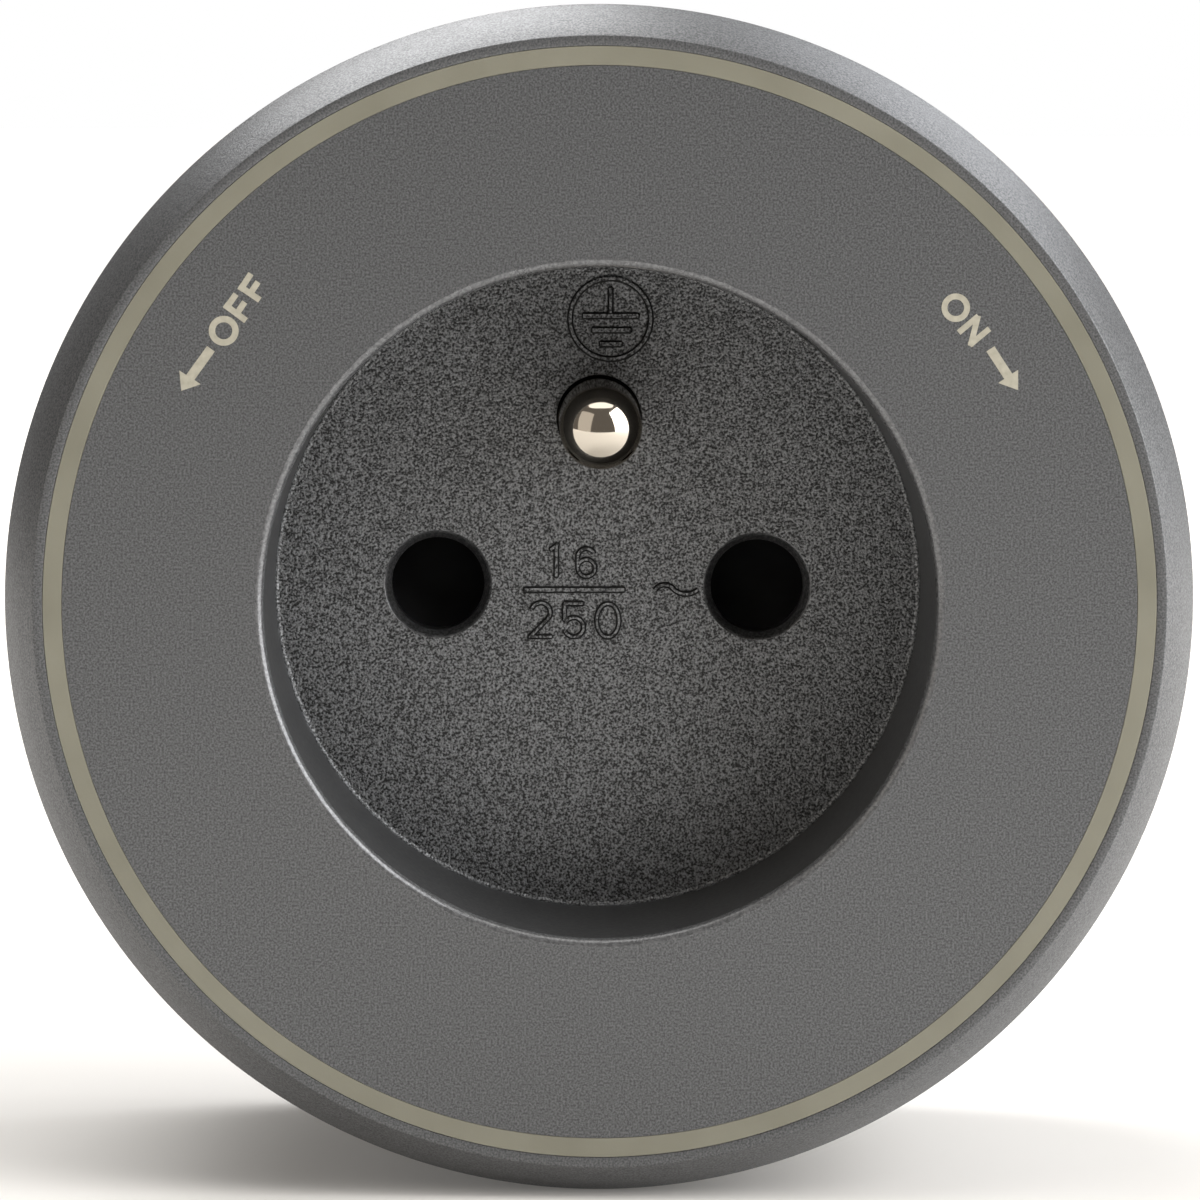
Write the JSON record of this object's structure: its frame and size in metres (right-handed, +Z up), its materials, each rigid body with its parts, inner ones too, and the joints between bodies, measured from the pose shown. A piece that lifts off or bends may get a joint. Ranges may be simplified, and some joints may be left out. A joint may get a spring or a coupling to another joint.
{
  "type": "track socket",
  "caption": "Round plug-in socket for a power track, with an earthed outlet behind safety shutters, a light ring, and a T-shaped key that locks when the body is turned.",
  "frame": {"origin": "centre of the rear seating face, on the axis of the round body", "axes": "-Y points out of the front face towards the user, +Z points up past the earth pin, and +X points right as seen from the front"},
  "size_m": [0.069, 0.058, 0.069],
  "materials": {
    "housing_paint": "satin anthracite metallic paint",
    "face_paint": "speckled anthracite metallic paint",
    "milky_diffuser": "milky translucent moulding",
    "board": "white coated circuit board",
    "lamp_chip": "lamp chip with a pale lens",
    "nickel": "polished nickel plate",
    "brass": "stamped brass strip",
    "copper": "copper alloy strip",
    "shutter_black": "glossy black moulding",
    "spring_steel": "drawn spring wire",
    "carrier_grey": "grey heat-resistant moulding",
    "foot_black": "matt black moulding",
    "cover_black": "fine-grained black moulding",
    "screw_steel": "zinc-plated steel"
  },
  "bodies": {
    "socket": {"front_housing": "housing_paint", "face_cup": "face_paint", "light_ring": "milky_diffuser", "led_board": "board", "led_1": "lamp_chip", "led_2": "lamp_chip", "led_3": "lamp_chip", "led_4": "lamp_chip", "led_5": "lamp_chip", "led_6": "lamp_chip", "earth_pin": "nickel", "earth_strap": "brass", "shutter_spring": "spring_steel", "contact_carrier": "carrier_grey", "live_contact": "brass", "neutral_contact": "brass", "track_foot": "foot_black", "foot_cap": "foot_black", "live_blade": "copper", "neutral_blade": "copper", "earth_blade": "copper", "rear_cover": "cover_black", "case_screw_1": "screw_steel", "case_screw_2": "screw_steel", "case_screw_3": "screw_steel", "foot_screw_1": "screw_steel", "foot_screw_2": "screw_steel", "carrier_screw_1": "screw_steel", "carrier_screw_2": "screw_steel", "cap_screw": "screw_steel"},
    "shutter_slide": {"shutter": "shutter_black"}
  },
  "joints": [
    {"name": "shutter_drop", "type": "slide", "parent": "socket", "child": "shutter_slide", "axis": [0, 0, -1], "range_m": [0, 0.0064], "stiffness_N_per_m": 60, "springref_m": -0.003, "deforming": ["shutter_spring"]}
  ]
}
